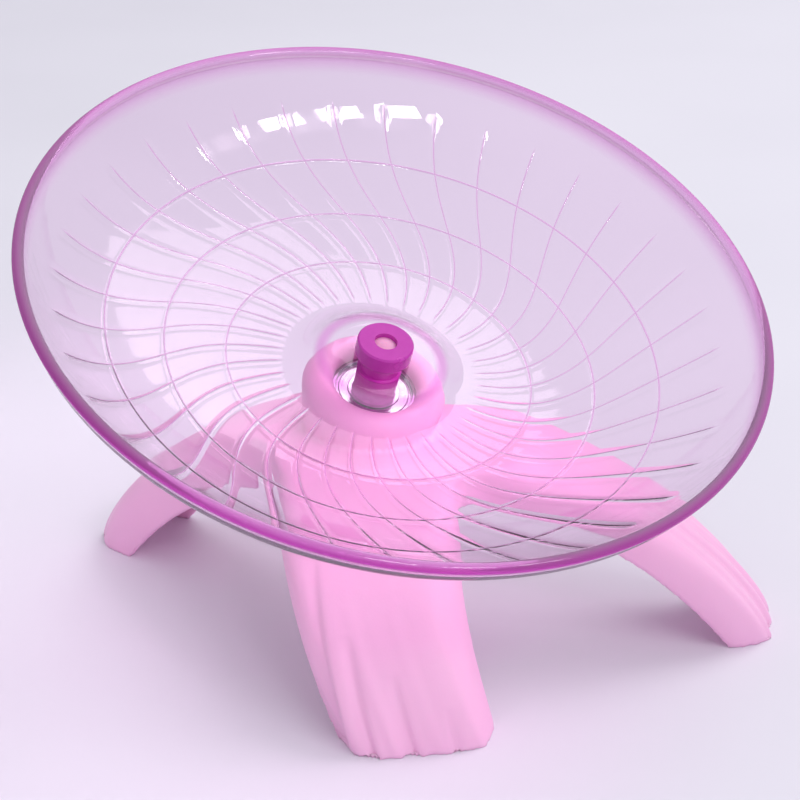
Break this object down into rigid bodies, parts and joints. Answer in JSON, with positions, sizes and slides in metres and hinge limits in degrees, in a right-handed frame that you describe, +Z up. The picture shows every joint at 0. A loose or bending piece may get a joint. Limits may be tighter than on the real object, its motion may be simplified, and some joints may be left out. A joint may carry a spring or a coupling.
{
  "type": "flying saucer hamster wheel",
  "caption": "Tilted clear saucer with swirl ribs that spins on a ball bearing above a three-legged root-shaped stand, for a hamster to run in.",
  "frame": {"origin": "on the floor, at the middle of the box round the whole object", "axes": "+Z up; +X towards the low side of the tilted saucer; +Y to the left of +X, level"},
  "size_m": [0.1738, 0.18, 0.1297],
  "materials": {
    "stand_plastic": "opaque moulded ABS, satin with a soft sheen",
    "saucer_plastic": "clear lilac-tinted polystyrene, polished",
    "hub_plastic": "translucent magenta, polished",
    "pin_plastic": "opaque pale pink, satin",
    "bearing_chrome": "ground and polished bearing steel",
    "shield_steel": "bright pressed sheet steel",
    "cage_steel": "pressed sheet steel",
    "ball_steel": "polished bearing balls"
  },
  "bodies": {
    "stand": {"root_stand": "stand_plastic", "bearing_outer_race": "bearing_chrome", "shield_upper": "shield_steel", "shield_lower": "shield_steel", "shield_clip_upper": "cage_steel", "shield_clip_lower": "cage_steel"},
    "saucer": {"saucer_bowl": "saucer_plastic", "hub_stem": "hub_plastic", "hub_pin": "pin_plastic", "bearing_inner_race": "bearing_chrome"},
    "cage": {"cage_upper_half": "cage_steel", "cage_lower_half": "cage_steel", "cage_rivets": "cage_steel"},
    "ball_1": {"bearing_ball_1": "ball_steel"},
    "ball_2": {"bearing_ball_2": "ball_steel"},
    "ball_3": {"bearing_ball_3": "ball_steel"},
    "ball_4": {"bearing_ball_4": "ball_steel"},
    "ball_5": {"bearing_ball_5": "ball_steel"},
    "ball_6": {"bearing_ball_6": "ball_steel"},
    "ball_7": {"bearing_ball_7": "ball_steel"}
  },
  "joints": [
    {"name": "saucer_spin", "type": "hinge", "parent": "stand", "child": "saucer", "pos_m": [-0.01191, 0, 0.0563], "axis": [0.3907, 0, 0.9205], "continuous": true},
    {"name": "cage_orbit", "type": "hinge", "parent": "stand", "child": "cage", "pos_m": [-0.01191, 0, 0.0563], "axis": [0.3907, 0, 0.9205], "continuous": true},
    {"name": "ball_1_spin", "type": "hinge", "parent": "cage", "child": "ball_1", "pos_m": [-0.00501, 0, 0.05337], "axis": [0.3907, 0, 0.9205], "continuous": true},
    {"name": "ball_2_spin", "type": "hinge", "parent": "cage", "child": "ball_2", "pos_m": [-0.00761, 0.00586, 0.05447], "axis": [0.3907, 0, 0.9205], "continuous": true},
    {"name": "ball_3_spin", "type": "hinge", "parent": "cage", "child": "ball_3", "pos_m": [-0.01345, 0.00731, 0.05695], "axis": [0.3907, 0, 0.9205], "continuous": true},
    {"name": "ball_4_spin", "type": "hinge", "parent": "cage", "child": "ball_4", "pos_m": [-0.01813, 0.00325, 0.05894], "axis": [0.3907, 0, 0.9205], "continuous": true},
    {"name": "ball_5_spin", "type": "hinge", "parent": "cage", "child": "ball_5", "pos_m": [-0.01813, -0.00325, 0.05894], "axis": [0.3907, 0, 0.9205], "continuous": true},
    {"name": "ball_6_spin", "type": "hinge", "parent": "cage", "child": "ball_6", "pos_m": [-0.01345, -0.00731, 0.05695], "axis": [0.3907, 0, 0.9205], "continuous": true},
    {"name": "ball_7_spin", "type": "hinge", "parent": "cage", "child": "ball_7", "pos_m": [-0.00761, -0.00586, 0.05447], "axis": [0.3907, 0, 0.9205], "continuous": true}
  ],
  "couplings": [
    {"joint": "cage_orbit", "follows": "saucer_spin", "ratio": 0.368},
    {"joint": "ball_1_spin", "follows": "saucer_spin", "ratio": -1.7619},
    {"joint": "ball_2_spin", "follows": "saucer_spin", "ratio": -1.7619},
    {"joint": "ball_3_spin", "follows": "saucer_spin", "ratio": -1.7619},
    {"joint": "ball_4_spin", "follows": "saucer_spin", "ratio": -1.7619},
    {"joint": "ball_5_spin", "follows": "saucer_spin", "ratio": -1.7619},
    {"joint": "ball_6_spin", "follows": "saucer_spin", "ratio": -1.7619},
    {"joint": "ball_7_spin", "follows": "saucer_spin", "ratio": -1.7619}
  ]
}
